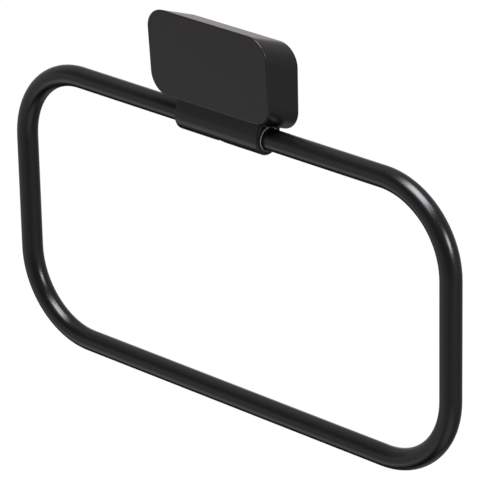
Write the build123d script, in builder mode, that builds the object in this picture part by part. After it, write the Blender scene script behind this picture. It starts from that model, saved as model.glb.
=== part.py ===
from build123d import *
from math import atan2, cos, hypot, radians, sin
import os

os.makedirs("parts", exist_ok=True)

# A towel ring for the wall. All sizes in mm. The origin is on the wall, in the middle of the block's
# outline there; the wall lies at y = 0, the front faces -Y and +Z is up.

# Block: a rounded rectangle drawn out from the wall and up
block_w = 58.2
block_h = 32.6
block_corner_r = 8.3
block_depth = 15.4
block_rise = 5.9
block_wall = 2.2
front_lean = 3.4
front_wall = 2.4
front_edge_r = 0.6

# Rounded edges of the casting turn over in this many flat steps
edge_steps = 4

# Ring: round bar bent at four corners, sizes of its centre line
bar_d = 8.0
ring_w = 210.0
ring_h = 106.0
bend_r = 30.5
bar_from_wall = 6.2
bar_below_block = 2.4
bar_end_chamfer = 0.6

# Knuckle: the part of the casting that carries the bar
knuckle_inset = 8.65
knuckle_r = 6.1
knuckle_edge_r = 0.7
knuckle_web = 8.0

# Bushes between the bar and the knuckle
bush_wall = 0.35
bush_proud = 0.2
bush_edge_bevel = 0.1
bar_clearance = 0.2
bush_clearance = 0.02
bore_runout = 0.1
bar_end_gap = 0.4

# Wall plate inside the block
plate_clearance = 0.2
plate_t = 6.0
plate_web = 2.5
plate_rim = 2.4
plate_rib_w = 9.0
screw_spacing = 32.0
slot_w = 4.6
slot_len = 9.0

# Set screw from below, square to the block's underside
screw_d = 5.0
screw_len = 12.0
screw_bite = 0.6
screw_point_d = 2.0
screw_clearance = 0.02
socket_af = 2.5
socket_depth = 3.0

# The block, its hollow and the wall plate are all drawn out along one slope
draw_dir = Vector(0, -block_depth, block_rise)
draw_len = hypot(block_depth, block_rise)
slope = block_rise / block_depth
lean = atan2(block_rise, block_depth)
draw_per_mm = draw_len / block_depth
front_angle = radians(front_lean)
front_dir = Vector(0, -cos(front_angle), -sin(front_angle))
front_stretch = cos(lean) / cos(lean + front_angle)


def front_plane(setback):
    """The leaning front, set back square to itself, with its origin on the line of draw."""
    return Plane(
        origin=draw_dir * (1 - setback / draw_dir.dot(front_dir)),
        x_dir=(1, 0, 0),
        z_dir=front_dir,
    )


# Lines of the knuckle, seen from the side as (y, z)
bar_y = -bar_from_wall
bar_z = -block_h / 2 - bar_below_block
up_y = sin(lean)
up_z = cos(lean)
underside = bar_below_block * up_z + bar_from_wall * up_y
wall_square = block_wall * up_z
knuckle_top = underside + wall_square / 2
knuckle_len = block_w - 2 * knuckle_inset
bar_r = bar_d / 2
bush_in_r = bar_r + bar_clearance
bush_out_r = bush_in_r + bush_wall
bore_r = bush_out_r + bush_clearance
bore_depth = (knuckle_len - knuckle_web) / 2

# Where the set screw stands along its own axis, measured up from the bar's axis
plate_low = underside + wall_square + plate_clearance * up_z
screw_top = plate_low + screw_bite
screw_foot = screw_top - screw_len
screw_r = screw_d / 2
point_bevel = screw_r - screw_point_d / 2


def screw_plane(height):
    """A plane square to the set screw, that far up its axis from the bar's axis."""
    return Plane(
        origin=(0, bar_y + height * up_y, bar_z + height * up_z),
        x_dir=(1, 0, 0),
        z_dir=(0, up_y, up_z),
    )


# Hollow of the block, an even wall behind its skin
hollow_w = block_w - 2 * block_wall
hollow_h = block_h - 2 * block_wall
hollow_corner_r = block_corner_r - block_wall
with BuildPart() as hollow:
    with BuildSketch(Plane.XZ):
        RectangleRounded(hollow_w, hollow_h, hollow_corner_r)
    with BuildSketch(front_plane(front_wall)):
        RectangleRounded(hollow_w, hollow_h * front_stretch, hollow_corner_r)
    loft(ruled=True)


# Knuckle: seen from its end it is round below, flat in front and upright behind. It reaches up into the
# block's underside, and its end edges are rounded over in steps.
with BuildPart() as knuckle:
    for side in (-1, 1):
        for step in range(edge_steps + 1)[::-side]:
            turn = radians(90 * step / edge_steps)
            end_r = knuckle_r - knuckle_edge_r * (1 - sin(turn))
            end_x = knuckle_len / 2 - knuckle_edge_r * (1 - cos(turn))
            with BuildSketch(Plane.YZ.offset(side * end_x)):
                with BuildLine():
                    front_foot = (bar_y - end_r * up_z, bar_z + end_r * up_y)
                    front_head = (front_foot[0] + knuckle_top * up_y, front_foot[1] + knuckle_top * up_z)
                    back_foot = (bar_y + end_r, bar_z)
                    back_head = (back_foot[0], front_head[1] - (back_foot[0] - front_head[0]) * slope)
                    ThreePointArc(back_foot, (bar_y, bar_z - end_r), front_foot)
                    Polyline(front_foot, front_head, back_head, back_foot)
                make_face()
    loft(ruled=True)


# Block: the outline at the wall is drawn out obliquely to a front that leans out a little at its top,
# rounded over in steps round that front, hollowed from the back and joined to the knuckle
front_h = block_h * front_stretch
with BuildPart() as wall_block:
    with BuildSketch(Plane.XZ):
        RectangleRounded(block_w, block_h, block_corner_r)
    for step in range(edge_steps + 1):
        turn = radians(90 * step / edge_steps)
        inset = front_edge_r * (1 - cos(turn))
        with BuildSketch(front_plane(front_edge_r * (1 - sin(turn)))):
            RectangleRounded(block_w - 2 * inset, front_h - 2 * inset, block_corner_r - inset)
    loft(ruled=True)
    add(hollow.part, mode=Mode.SUBTRACT)
    add(knuckle.part)

    # Two blind bores that leave a web between the bar's ends, and that run out a little past the
    # knuckle so that the bushes can stand proud close under the block
    for side in (-1, 1):
        with BuildSketch(Plane.YZ.offset(side * knuckle_web / 2)):
            with Locations((bar_y, bar_z)):
                Circle(bore_r)
        extrude(amount=side * (bore_depth + bush_proud + bore_runout), mode=Mode.SUBTRACT)

    # Tapped hole up through the web into the hollow
    with BuildSketch(screw_plane(-knuckle_r - 1)):
        Circle(screw_r + screw_clearance)
    extrude(amount=knuckle_r + 1 + plate_low, mode=Mode.SUBTRACT)
wall_block.part.label = "wall_block"
export_step(wall_block.part, "parts/wall_block.step")


# Ring: one bar swept round the four bends, with both ends inside the knuckle
ring_end = knuckle_web / 2 + bar_end_gap
with BuildPart() as ring:
    with BuildLine(Plane.XZ.offset(bar_from_wall)) as ring_line:
        FilletPolyline(
            (ring_end, bar_z),
            (ring_w / 2, bar_z),
            (ring_w / 2, bar_z - ring_h),
            (-ring_w / 2, bar_z - ring_h),
            (-ring_w / 2, bar_z),
            (-ring_end, bar_z),
            radius=bend_r,
        )
    with BuildSketch(Plane(origin=ring_line.line @ 0, z_dir=ring_line.line % 0)):
        Circle(bar_r)
    sweep()
    chamfer(faces().filter_by(Axis.X).edges(), bar_end_chamfer)
ring.part.label = "ring"
export_step(ring.part, "parts/ring.step")


# Bushes: plain sleeves pressed in from each end, standing a little proud
with BuildPart() as bush_right:
    with BuildSketch(Plane.YZ.offset(knuckle_web / 2)):
        with Locations((bar_y, bar_z)):
            Circle(bush_out_r)
            Circle(bush_in_r, mode=Mode.SUBTRACT)
    extrude(amount=bore_depth + bush_proud)
    chamfer(faces().sort_by(Axis.X)[-1].edges(), bush_edge_bevel)
bush_right.part.label = "bush_right"
export_step(bush_right.part, "parts/bush_right.step")

with BuildPart() as bush_left:
    mirror(bush_right.part, about=Plane.YZ)
bush_left.part.label = "bush_left"
export_step(bush_left.part, "parts/bush_left.step")


# Wall plate: a shallow tray that fills the block's mouth, slotted for two wall screws
plate_w = block_w - 2 * (block_wall + plate_clearance)
plate_h = block_h - 2 * (block_wall + plate_clearance)
plate_corner_r = block_corner_r - block_wall - plate_clearance
with BuildPart() as wall_plate:
    with BuildSketch(Plane.XZ):
        RectangleRounded(plate_w, plate_h, plate_corner_r)
    extrude(amount=plate_t * draw_per_mm, dir=draw_dir)

    with BuildSketch(Plane.XZ.offset(plate_web)):
        with Locations((0, plate_web * slope)):
            RectangleRounded(plate_w - 2 * plate_rim, plate_h - 2 * plate_rim, plate_corner_r - plate_rim)
            Rectangle(plate_rib_w, plate_h, mode=Mode.SUBTRACT)
    extrude(amount=(plate_t - plate_web) * draw_per_mm, dir=draw_dir, mode=Mode.SUBTRACT)

    with BuildSketch(Plane.XZ):
        with GridLocations(screw_spacing, 0, 2, 1):
            SlotOverall(slot_len, slot_w)
    extrude(amount=plate_web, mode=Mode.SUBTRACT)

    # Seat for the set screw's point
    with BuildSketch(screw_plane(plate_low - 1)):
        Circle(screw_point_d / 2 + screw_bite + 1)
    with BuildSketch(screw_plane(screw_top)):
        Circle(screw_point_d / 2)
    loft(mode=Mode.SUBTRACT)
wall_plate.part.label = "wall_plate"
export_step(wall_plate.part, "parts/wall_plate.step")


# Set screw: hexagon socket below, bevelled point above
with BuildPart() as grub_screw:
    with BuildSketch(screw_plane(screw_foot)):
        Circle(screw_r)
    extrude(amount=screw_len)
    chamfer(edges().sort_by(Axis.Z)[-1], point_bevel)

    with BuildSketch(screw_plane(screw_foot)):
        RegularPolygon(socket_af / 2, 6, major_radius=False)
    extrude(amount=socket_depth, mode=Mode.SUBTRACT)
grub_screw.part.label = "grub_screw"
export_step(grub_screw.part, "parts/grub_screw.step")
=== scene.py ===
import math

import bpy
from mathutils import Matrix, Quaternion, Vector


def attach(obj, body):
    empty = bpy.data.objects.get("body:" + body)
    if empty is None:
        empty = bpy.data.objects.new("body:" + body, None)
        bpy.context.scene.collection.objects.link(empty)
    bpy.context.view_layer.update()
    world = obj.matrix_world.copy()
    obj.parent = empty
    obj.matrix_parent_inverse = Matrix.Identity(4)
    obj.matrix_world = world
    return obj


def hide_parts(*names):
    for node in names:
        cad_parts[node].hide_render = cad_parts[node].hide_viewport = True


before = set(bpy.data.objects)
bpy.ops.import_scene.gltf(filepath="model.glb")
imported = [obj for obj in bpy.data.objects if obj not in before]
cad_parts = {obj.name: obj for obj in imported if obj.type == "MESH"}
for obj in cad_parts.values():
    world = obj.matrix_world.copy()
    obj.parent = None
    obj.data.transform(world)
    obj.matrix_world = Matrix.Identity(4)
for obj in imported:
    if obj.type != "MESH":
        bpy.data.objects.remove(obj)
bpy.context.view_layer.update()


# Wall plate: a small zinc die casting that is screwed to the wall through its two slots, and that the
# block slides over. It is left bare, so it shows the dull grey skin of a casting with small flow marks.
class Strand:
    """One socket of a material's nodes. Arithmetic on strands adds Math nodes to the same material."""

    def __init__(self, socket):
        self.socket = socket

    def node(self, kind, settings, values, output=0):
        """Adds a node, sets it up, fills or links its sockets and gives back one of its outputs."""
        tree = self.socket.id_data
        made = tree.nodes.new(kind)
        for name, value in settings.items():
            setattr(made, name, value)
        for name, value in values.items():
            if isinstance(value, Strand):
                tree.links.new(value.socket, made.inputs[name])
            else:
                made.inputs[name].default_value = value
        return Strand(made.outputs[output]) if len(made.outputs) else None

    def arithmetic(self, operation, first, second):
        """A Math node on two strands, or on a strand and a number."""
        return self.node("ShaderNodeMath", {"operation": operation}, {0: first, 1: second})

    def __add__(self, other):
        return self.arithmetic("ADD", self, other)

    def __radd__(self, other):
        return self.arithmetic("ADD", other, self)

    def __sub__(self, other):
        return self.arithmetic("SUBTRACT", self, other)

    def __rsub__(self, other):
        return self.arithmetic("SUBTRACT", other, self)

    def __mul__(self, other):
        return self.arithmetic("MULTIPLY", self, other)

    def __rmul__(self, other):
        return self.arithmetic("MULTIPLY", other, self)

    def noise(self, per_metre, detail, rough=0.5, distortion=0.0):
        """Soft cloudy values from 0 to 1, with that many patches to the metre."""
        sizes = {"Vector": self, "Scale": per_metre, "Detail": detail, "Roughness": rough}
        return self.node("ShaderNodeTexNoise", {}, {**sizes, "Distortion": distortion})

    def between(self, low, high):
        """1 above the higher value, 0 below the lower one, and smooth in between."""
        ends = {"Value": self, "From Min": low, "From Max": high}
        return self.node("ShaderNodeMapRange", {"interpolation_type": "SMOOTHSTEP"}, ends)

    def blend(self, first, second):
        """The first colour where this is 0, the second where it is 1."""
        return self.node("ShaderNodeMix", {"data_type": "RGBA"}, {0: self, 6: first, 7: second}, 2)

    def vector_maths(self, operation, values, output=0):
        """A Vector Math node; its output is a vector, or a number where that is asked for by name."""
        return self.node("ShaderNodeVectorMath", {"operation": operation}, values, output)

    def bump(self, height_m):
        """A normal from this relief, whose full height is given in metres."""
        return self.node("ShaderNodeBump", {}, {"Height": self, "Distance": height_m, "Strength": 1.0})


def start_finish(name):
    """A new material without nodes, and the strand of its object coordinates."""
    finish = bpy.data.materials.new(name)
    finish.use_nodes = True
    finish.node_tree.nodes.clear()
    place = finish.node_tree.nodes.new("ShaderNodeTexCoord")
    return finish, Strand(place.outputs["Object"])


def close_finish(place, sockets):
    """Ends a material with a surface shader that takes these values and strands."""
    surface = place.node("ShaderNodeBsdfPrincipled", {}, sockets)
    surface.node("ShaderNodeOutputMaterial", {}, {"Surface": surface})


def give_finish(part, finish):
    """Puts a material in the only slot of a part."""
    part.data.materials.clear()
    part.data.materials.append(finish)


zinc_dark = (0.50, 0.51, 0.53, 1)
zinc_light = (0.64, 0.64, 0.65, 1)
zinc_roughness = 0.38
zinc_relief = 0.00006
zinc, place = start_finish("cast_zinc")
cloud = place.noise(per_metre=180.0, detail=4.0, rough=0.6)
grain = place.noise(per_metre=2600.0, detail=3.0, rough=0.6)
flow = place.noise(per_metre=90.0, detail=5.0, distortion=2.5).between(0.5, 0.72)
close_finish(place, {
    "Base Color": (cloud * 0.6 + flow * 0.4).blend(zinc_dark, zinc_light),
    "Metallic": 0.7,
    "Roughness": zinc_roughness + grain * 0.16 + flow * 0.06,
    "Normal": (grain * 0.7 + cloud * 0.3).bump(zinc_relief),
})
give_finish(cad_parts["wall_plate"], zinc)


# Block: one die casting with the knuckle for the ring under it, hollow and open at the wall. It is
# powder coated in satin black, inside and out, so all edges are soft and the skin has a fine orange peel.
def powder_coat(name, shade, roughness, relief_m, edge=None):
    """Satin black powder: a fine orange peel with finer grain, uneven in gloss and duller on an edge."""
    uneven_shade = 0.12
    uneven_gloss = 0.04
    edge_dullness = 0.05
    finish, place = start_finish(name)
    peel = place.noise(per_metre=1500.0, detail=2.0, rough=0.45)
    grain = place.noise(per_metre=6500.0, detail=2.0, rough=0.5)
    cloud = place.noise(per_metre=35.0, detail=3.0, rough=0.55)
    gloss_loss = cloud * uneven_gloss + grain * uneven_gloss
    if edge:
        face_point, face_way, edge_r = edge
        reach = place.vector_maths("DOT_PRODUCT", {0: place, 1: face_way}, "Value")
        depth = face_point.dot(face_way) - reach
        off_face = depth.between(0.02 * edge_r, 0.2 * edge_r)
        past_edge = depth.between(edge_r, 1.2 * edge_r)
        on_edge = off_face * (1 - past_edge)
        gloss_loss = gloss_loss + on_edge * (edge_dullness + cloud * uneven_gloss)
    darker = [(1 - uneven_shade) * part for part in shade] + [1]
    lighter = [(1 + uneven_shade) * part for part in shade] + [1]
    close_finish(place, {
        "Base Color": (cloud * 0.55 + grain * 0.45).blend(darker, lighter),
        "Roughness": (roughness - uneven_gloss) + gloss_loss,
        "IOR": 1.5,
        "Normal": (peel * 0.8 + grain * 0.2).bump(relief_m),
    })
    return finish


block_depth = 0.0154
block_rise = 0.0059
front_lean = math.radians(3.4)
front_edge_r = 0.0006
front_point = Vector((0, -block_depth, block_rise))
front_way = Vector((0, -math.cos(front_lean), -math.sin(front_lean)))
block_shade = (0.0055, 0.0053, 0.0053)
block_roughness = 0.28
block_relief = 0.000011
block_black = powder_coat(
    "block_black", block_shade, block_roughness, block_relief, (front_point, front_way, front_edge_r)
)
give_finish(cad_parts["wall_block"], block_black)


# Bushes: two plain sleeves of light grey acetal, pressed into the knuckle from its ends. The bar turns
# in them, and only their bevelled rims show, as a thin light line round the bar.
acetal_dark = (0.25, 0.265, 0.285, 1)
acetal_light = (0.33, 0.345, 0.37, 1)
acetal_roughness = 0.34
turning_relief = 0.000008
acetal, place = start_finish("bush_acetal")
fleck = place.noise(per_metre=900.0, detail=3.0, rough=0.5)
turned = place.node(
    "ShaderNodeTexWave", {"wave_type": "BANDS", "bands_direction": "X"},
    {"Vector": place, "Scale": 1400.0, "Distortion": 0.6, "Detail": 1.0},
    "Fac",
)
close_finish(place, {
    "Base Color": fleck.blend(acetal_dark, acetal_light),
    "Roughness": acetal_roughness + turned * 0.08 + fleck * 0.06,
    "Normal": turned.bump(turning_relief),
})
for side in ("bush_left", "bush_right"):
    give_finish(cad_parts[side], acetal)


# Ring: one length of 8 mm round steel bar, bent at four corners, its two ends meeting inside the
# knuckle. It has the same satin black powder as the block, but smoother, and swings in the bushes.
ring_h = 0.106
bar_axis = Vector((0, -0.0062, -0.0187))
ring_middle = bar_axis - Vector((0, 0, ring_h / 2))
ring_shade = (0.0050, 0.0048, 0.0048)
ring_roughness = 0.24
ring_relief = 0.0000008
ring_black = powder_coat("ring_black", ring_shade, ring_roughness, ring_relief)
give_finish(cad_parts["ring"], ring_black)


# Set screw: an M5 socket screw that goes in from below through the knuckle and locks the block to the
# wall plate. It is hardened steel with a rolled thread and a flattened cone point, oxidised black and
# oiled, with bare metal where the key and the thread have rubbed.
screw_r = 0.00248
root_r = 0.00203
pitch = 0.0008
crest_w = 0.0001
root_w = 0.00018
screw_len = 0.012
point_r = 0.0010
point_len = 0.0015
foot_r = 0.0020
foot_len = 0.0004
socket_af = 0.0025
socket_depth = 0.003
foot_below_bar = 0.0047
screw_lean = math.atan2(block_rise, block_depth)
screw_axis = Vector((0, math.sin(screw_lean), math.cos(screw_lean)))

# One pitch of the thread's outline, wound up the screw in millimetres and cut square at both ends. It
# starts two turns too low and runs two turns too far, so that both cuts go through whole thread.
mm = 1000
spare_turns = 2
steps_per_turn = 40
thread_outline = [
    (root_r, -pitch / 2), (root_r, -pitch / 2 + root_w / 2), (screw_r, -crest_w / 2),
    (screw_r, crest_w / 2), (root_r, pitch / 2 - root_w / 2), (root_r, pitch / 2),
]
bpy.ops.object.select_all(action="DESELECT")
bpy.ops.mesh.primitive_plane_add(size=2, location=(0, 0, 0))
set_screw = bpy.context.object
set_screw.name = "set_screw"
bpy.ops.object.mode_set(mode="EDIT")
bpy.ops.mesh.select_mode(type="VERT")
bpy.ops.mesh.select_all(action="DESELECT")
bpy.ops.object.mode_set(mode="OBJECT")
for corner in set_screw.data.vertices:
    corner.select = corner.co.y > 0
bpy.ops.object.mode_set(mode="EDIT")
bpy.ops.mesh.delete(type="VERT")
bpy.ops.mesh.select_all(action="SELECT")
bpy.ops.mesh.subdivide(number_cuts=len(thread_outline) - 2)
bpy.ops.object.mode_set(mode="OBJECT")
corners = sorted(set_screw.data.vertices, key=lambda v: v.co.x)
for corner, (out, rise) in zip(corners, thread_outline):
    corner.co = (out * mm, 0, (rise - spare_turns * pitch) * mm)
winding = set_screw.modifiers.new("winding", "SCREW")
winding.axis = "Z"
winding.steps = steps_per_turn
winding.render_steps = steps_per_turn
winding.iterations = round(screw_len / pitch) + 2 * spare_turns
winding.screw_offset = pitch * mm
bpy.ops.object.modifier_apply(modifier=winding.name)


def cut_square(height, way, end_r, end_len):
    """Cuts the screw off at that height, closes it and draws the new end in to a smaller radius."""
    cut_mm = height * mm
    merge_mm = 1e-3
    flat_mm = 1e-4
    bpy.ops.object.mode_set(mode="EDIT")
    bpy.ops.mesh.select_all(action="SELECT")
    bpy.ops.mesh.remove_doubles(threshold=merge_mm)
    bpy.ops.mesh.bisect(
        plane_co=(0, 0, cut_mm), plane_no=(0, 0, way), use_fill=True, clear_outer=True
    )
    bpy.ops.mesh.select_all(action="DESELECT")
    bpy.ops.object.mode_set(mode="OBJECT")
    heights = [v.co.z for v in set_screw.data.vertices]
    for face in set_screw.data.polygons:
        face.select = all(abs(heights[v] - cut_mm) < flat_mm for v in face.vertices)
    bpy.ops.object.mode_set(mode="EDIT")
    bpy.ops.mesh.select_mode(type="FACE")
    bpy.ops.mesh.extrude_region_move(TRANSFORM_OT_translate={"value": (0, 0, way * end_len * mm)})
    drawn_in = 2 * end_r / (screw_r + root_r)
    end = (0, 0, (height + way * end_len) * mm)
    bpy.ops.transform.resize(value=(drawn_in, drawn_in, 1), center_override=end)
    bpy.ops.object.mode_set(mode="OBJECT")


cut_square(foot_len, -1, foot_r, foot_len)
cut_square(screw_len - point_len, 1, point_r, point_len)
bpy.ops.object.mode_set(mode="EDIT")
bpy.ops.mesh.select_all(action="SELECT")
bpy.ops.mesh.normals_make_consistent(inside=False)
bpy.ops.object.mode_set(mode="OBJECT")

# Hexagon socket for the key, cut in from the foot
bpy.ops.object.select_all(action="DESELECT")
bpy.ops.mesh.primitive_cylinder_add(
    vertices=6, radius=socket_af / math.sqrt(3) * mm, depth=2 * socket_depth * mm, location=(0, 0, 0)
)
key = bpy.context.object
bpy.ops.object.select_all(action="DESELECT")
set_screw.select_set(True)
bpy.context.view_layer.objects.active = set_screw
socket = set_screw.modifiers.new("socket", "BOOLEAN")
socket.operation = "DIFFERENCE"
socket.object = key
socket.solver = "EXACT"
bpy.ops.object.modifier_apply(modifier=socket.name)
bpy.data.objects.remove(key)

# Back to metres, and up into the knuckle
sharp_edge = math.radians(35)
set_screw.scale = (1 / mm, 1 / mm, 1 / mm)
set_screw.rotation_euler = (-screw_lean, 0, 0)
set_screw.location = bar_axis - foot_below_bar * screw_axis
bpy.ops.object.transform_apply(location=True, rotation=True, scale=True)
bpy.ops.object.shade_smooth_by_angle(angle=sharp_edge)

oxide_black = (0.085, 0.085, 0.09, 1)
bare_steel = (0.40, 0.40, 0.41, 1)
rubbed_depth = 0.00012
oxide_roughness = 0.36
oxide_relief = 0.00002
oxide, place = start_finish("screw_oxide")
from_bar = place.vector_maths("SUBTRACT", {0: place, 1: bar_axis})
up = place.vector_maths("DOT_PRODUCT", {0: from_bar, 1: screw_axis}, "Value")
centre = place.vector_maths("SCALE", {0: screw_axis, "Scale": up})
off_axis = place.vector_maths("DISTANCE", {0: from_bar, 1: centre}, "Value")
cloud = place.noise(per_metre=700.0, detail=4.0, rough=0.6)
crest = off_axis.between(screw_r - rubbed_depth, screw_r)
rubbed = place.noise(per_metre=2400.0, detail=3.0, rough=0.6).between(0.42, 0.66)
bare = crest * (0.25 + rubbed * 0.6) + rubbed * cloud * 0.25
close_finish(place, {
    "Base Color": bare.blend(oxide_black, bare_steel),
    "Metallic": 0.85,
    "Roughness": oxide_roughness + cloud * 0.14 - bare * 0.10,
    "Normal": cloud.bump(oxide_relief),
})
give_finish(set_screw, oxide)
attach(set_screw, "holder")
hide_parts("grub_screw")


# Studio: a pale floor far below the ring, a long softbox overhead at the right and a smaller one at the
# right, each with a wider and dimmer one behind it as a soft rim. The air is white to the camera. Gloss
# sees a dim grey room in it, with dark flags and light cards where the ring mirrors them.
floor_size = 20.0
floor_height = -1.2
floor_dark = (0.88, 0.88, 0.88, 1)
floor_light = (0.91, 0.91, 0.91, 1)
floor_glow = 1.09
glow_share = 0.9
bpy.ops.object.select_all(action="DESELECT")
bpy.ops.mesh.primitive_plane_add(size=floor_size, location=(0, 0, floor_height))
floor = bpy.context.object
floor.name = "floor"
floor.visible_glossy = False
floor.visible_diffuse = False
pale, place = start_finish("pale_floor")
to_camera = place.node("ShaderNodeLightPath", {}, {}, "Is Camera Ray")
mottle = place.noise(per_metre=3.0, detail=2.0, rough=0.5).blend(floor_dark, floor_light)
lit = place.node("ShaderNodeBsdfDiffuse", {}, {"Color": mottle})
white = place.node("ShaderNodeEmission", {}, {"Color": (1, 1, 1, 1), "Strength": floor_glow})
seen = place.node("ShaderNodeMixShader", {}, {0: to_camera * glow_share, 1: lit, 2: white})
seen.node("ShaderNodeOutputMaterial", {}, {"Surface": seen})
give_finish(floor, pale)


def way_to(turn_deg, lift_deg):
    """A direction from the ring; turn 0 is in front of it and 90 at its right, lift 90 is straight up."""
    turn, lift = math.radians(turn_deg), math.radians(lift_deg)
    return Vector((math.sin(turn) * math.cos(lift), -math.cos(turn) * math.cos(lift), math.sin(lift)))


def softbox(name, way, roll_deg, distance, width, height, radiance):
    """A flat lamp that looks at the ring from that way, turned about its own axis."""
    lamp = bpy.data.lights.new(name, "AREA")
    lamp.shape = "RECTANGLE"
    lamp.size = width
    lamp.size_y = height
    lamp.color = (1.02, 0.99, 1.05)
    lamp.energy = radiance * math.pi * width * height
    stand = bpy.data.objects.new(name, lamp)
    stand.location = ring_middle + distance * way
    roll = Quaternion((0, 0, 1), math.radians(roll_deg))
    stand.rotation_euler = (way.to_track_quat("Z", "Y") @ roll).to_euler()
    stand.visible_camera = False
    bpy.context.scene.collection.objects.link(stand)


overhead_way = way_to(62.1, 74.0)
overhead_roll = 23
side_way = way_to(89.8, 20.2)
side_roll = 13
softbox(
    "overhead_softbox", overhead_way, overhead_roll, distance=1.2, width=0.85, height=0.53, radiance=10.0
)
softbox("overhead_rim", overhead_way, overhead_roll, distance=1.21, width=1.20, height=0.90, radiance=4.6)
softbox("side_softbox", side_way, side_roll, distance=1.4, width=0.44, height=0.28, radiance=12.0)
softbox("side_rim", side_way, side_roll, distance=1.41, width=0.60, height=0.47, radiance=5.2)

studio = bpy.data.worlds.new("studio")
studio.use_nodes = True
studio.node_tree.nodes.clear()
rays = studio.node_tree.nodes.new("ShaderNodeLightPath").outputs
to_camera = Strand(rays["Is Camera Ray"])
through_glass = Strand(rays["Is Transmission Ray"])
gloss = Strand(rays["Is Glossy Ray"])
look = gloss.node("ShaderNodeTexCoord", {}, {}, "Generated")


def along(way):
    """How far the air that is looked at lies in that direction, from -1 to 1."""
    return look.vector_maths("DOT_PRODUCT", {0: look, 1: way}, "Value")


# Flags and cards, one to a line: turn and lift of the middle in degrees, how far along that way the
# patch begins and where it is full, and the share of light that it takes away or the light that it adds
dark_flags = [
    (39, 43, 0.16, 0.74, 0.83),
    (-52, 36, 0.84, 1.0, 0.5),
    (133, 20, 0.85, 1.0, 0.45),
    (138, -16, 0.78, 1.0, 0.27),
    (40, -24, 0.86, 1.0, 0.2),
    (-106, -46, 0.905, 0.985, 0.84),
    (-8, -74, 0.90, 0.97, 0.8),
]
light_cards = [
    (54, -53, 0.85, 1.0, 0.42),
    (-55, -31, 0.93, 1.0, 0.14),
    (-58, -41, 0.96, 1.0, 0.55),
    (-98, 50, 0.80, 1.0, 0.12),
    (-139, -6, 0.95, 1.0, 0.40),
    (-29, -44, 0.945, 1.0, 0.36),
    (-160, -72, 0.92, 1.0, 0.23),
]

# The room is a little lighter at the right, in front and above, and darker straight up and down
room_light = 0.485
room_slope = (0.049, -0.082, 0.078)
loss_up_and_down = 0.277
room_tint = (1.065, 1.0, 1.0, 1)
air_light = 0.22
lift_of_look = along((0, 0, 1))
off_level = lift_of_look.node("ShaderNodeMath", {"operation": "ABSOLUTE"}, {0: lift_of_look})
room = room_light + along(room_slope) - off_level * loss_up_and_down
for turn_deg, lift_deg, start, full, share in dark_flags:
    room = room * (1 - along(way_to(turn_deg, lift_deg)).between(start, full) * share)
for turn_deg, lift_deg, start, full, added in light_cards:
    room = room + along(way_to(turn_deg, lift_deg)).between(start, full) * added
strength = air_light + (to_camera + through_glass) * (1 - air_light) + gloss * (room - air_light)
tint = gloss.blend((1, 1, 1, 1), room_tint)
air = gloss.node("ShaderNodeBackground", {}, {"Color": tint, "Strength": strength})
air.node("ShaderNodeOutputWorld", {}, {"Surface": air})
bpy.context.scene.world = studio


# Camera: a long lens, right of the front and above, turned a little about its own axis. It looks past
# the middle of the ring by as much as the photograph's frame is off it.
azimuth, elevation, roll = math.radians(44.28), math.radians(22.82), math.radians(1.254)
distance = 1.3614
focal_length_mm = 283.4
sensor_mm = 36.0
aim_right, aim_down = 0.00357, -0.00811
ahead = Vector((
    -math.sin(azimuth) * math.cos(elevation), math.cos(azimuth) * math.cos(elevation), -math.sin(elevation)
))
level = Vector((math.cos(azimuth), math.sin(azimuth), 0))
plumb = ahead.cross(level)
right = math.cos(roll) * level + math.sin(roll) * plumb
down = math.cos(roll) * plumb - math.sin(roll) * level
target = ring_middle + aim_right * right + aim_down * down
lens = bpy.data.cameras.new("camera")
lens.lens = focal_length_mm
lens.sensor_width = sensor_mm
lens.clip_start = 0.05
lens.clip_end = 60.0
camera = bpy.data.objects.new("camera", lens)
camera.matrix_world = (
    Matrix.Translation(target)
    @ Matrix.Rotation(azimuth, 4, "Z")
    @ Matrix.Rotation(math.pi / 2 - elevation, 4, "X")
    @ Matrix.Rotation(-roll, 4, "Z")
    @ Matrix.Translation((0, 0, distance))
)
bpy.context.scene.collection.objects.link(camera)
bpy.context.scene.camera = camera
bpy.context.scene.view_settings.view_transform = "Standard"
